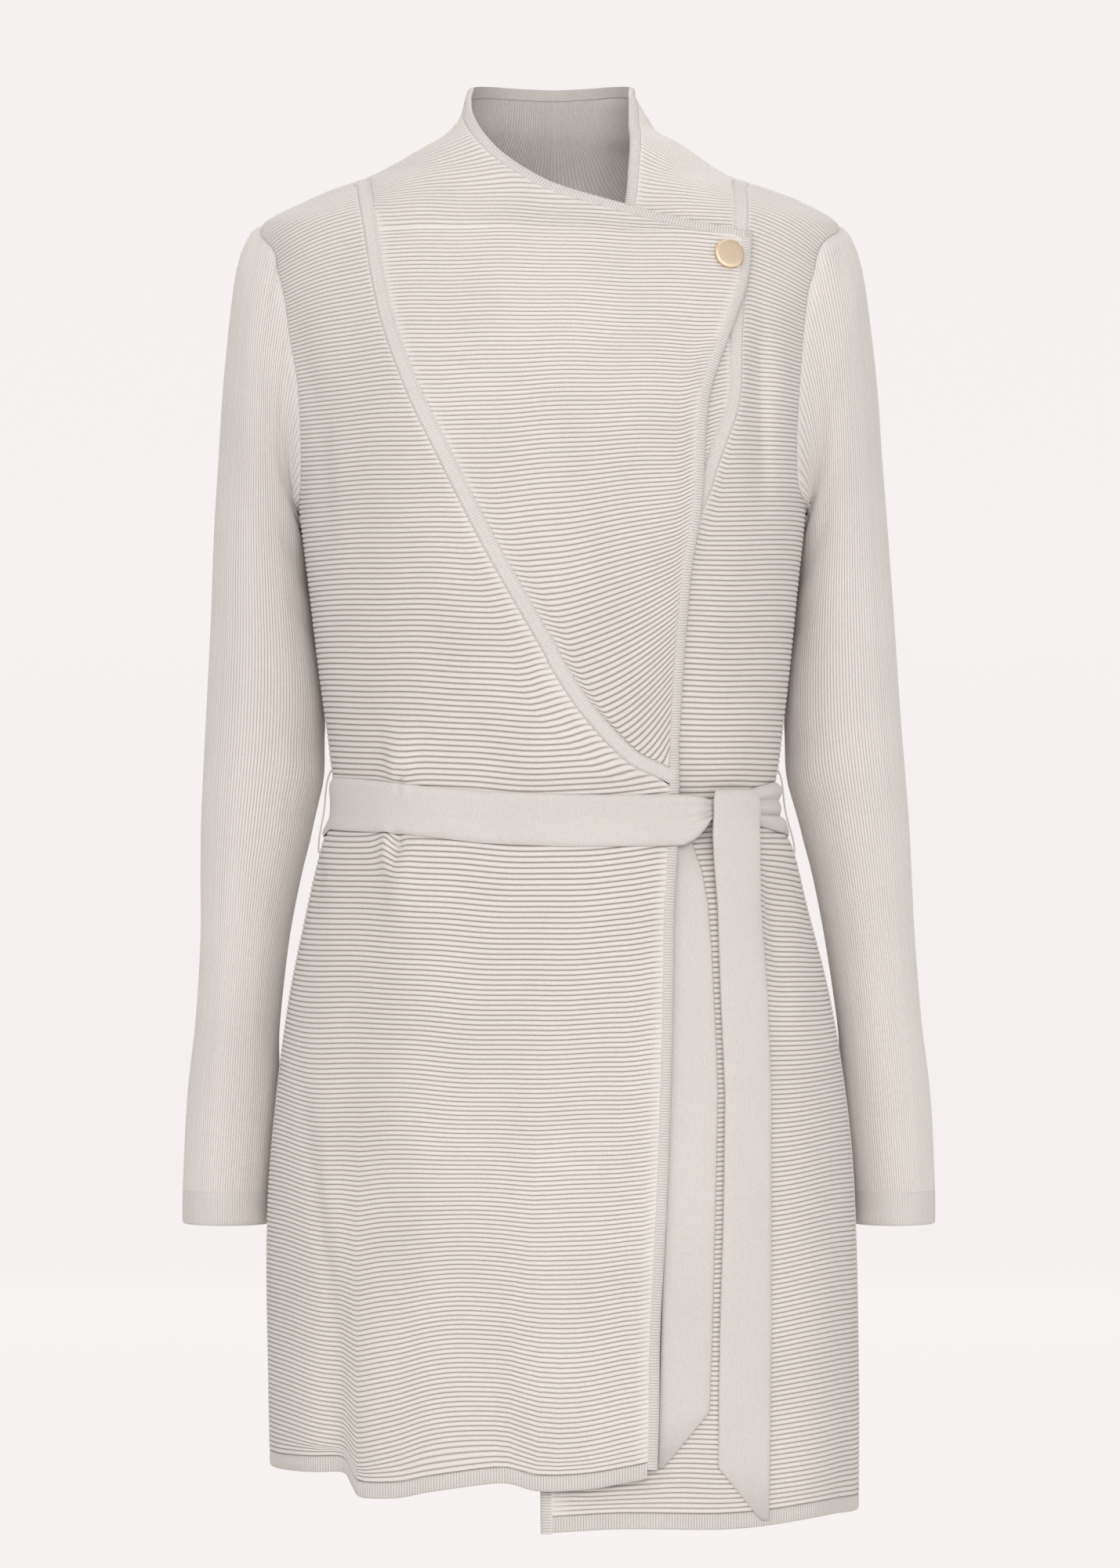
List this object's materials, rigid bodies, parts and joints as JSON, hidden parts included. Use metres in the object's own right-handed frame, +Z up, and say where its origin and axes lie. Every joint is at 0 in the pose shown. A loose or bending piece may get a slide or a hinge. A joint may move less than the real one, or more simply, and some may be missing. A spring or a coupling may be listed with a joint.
{
  "type": "wrap cardigan",
  "caption": "Long wrap cardigan in ribbed knit, right front over left, with a stand collar, bound edges, a snap button and a tied belt, held open as if worn.",
  "frame": {"origin": "between the wearer's shoulders: on the centre line at mid depth, level with the neck end of the shoulder seams", "axes": "+Z up, -Y the wearer's front, -X the wearer's right"},
  "size_m": [0.473, 0.2465, 0.8965],
  "materials": {
    "rib_knit": "matte fine knit with horizontal ribs",
    "plain_knit": "matte fine plain knit",
    "thread": "matte twisted thread",
    "gold_metal": "satin pale gold"
  },
  "bodies": {
    "root": {"right_front": "rib_knit", "left_front": "rib_knit", "back_panel": "rib_knit", "right_lapel_collar": "rib_knit", "left_lapel_collar": "rib_knit", "right_sleeve": "rib_knit", "left_sleeve": "rib_knit", "right_hem": "plain_knit", "left_hem": "plain_knit", "back_hem": "plain_knit", "right_seam_band": "plain_knit", "left_seam_band": "plain_knit", "right_edge_binding": "plain_knit", "left_edge_binding": "plain_knit", "right_cuff": "plain_knit", "left_cuff": "plain_knit", "belt": "plain_knit", "belt_knot": "plain_knit", "belt_tail_front": "plain_knit", "belt_tail_under": "plain_knit", "right_belt_loop": "thread", "left_belt_loop": "thread", "button": "gold_metal"}
  },
  "joints": []
}
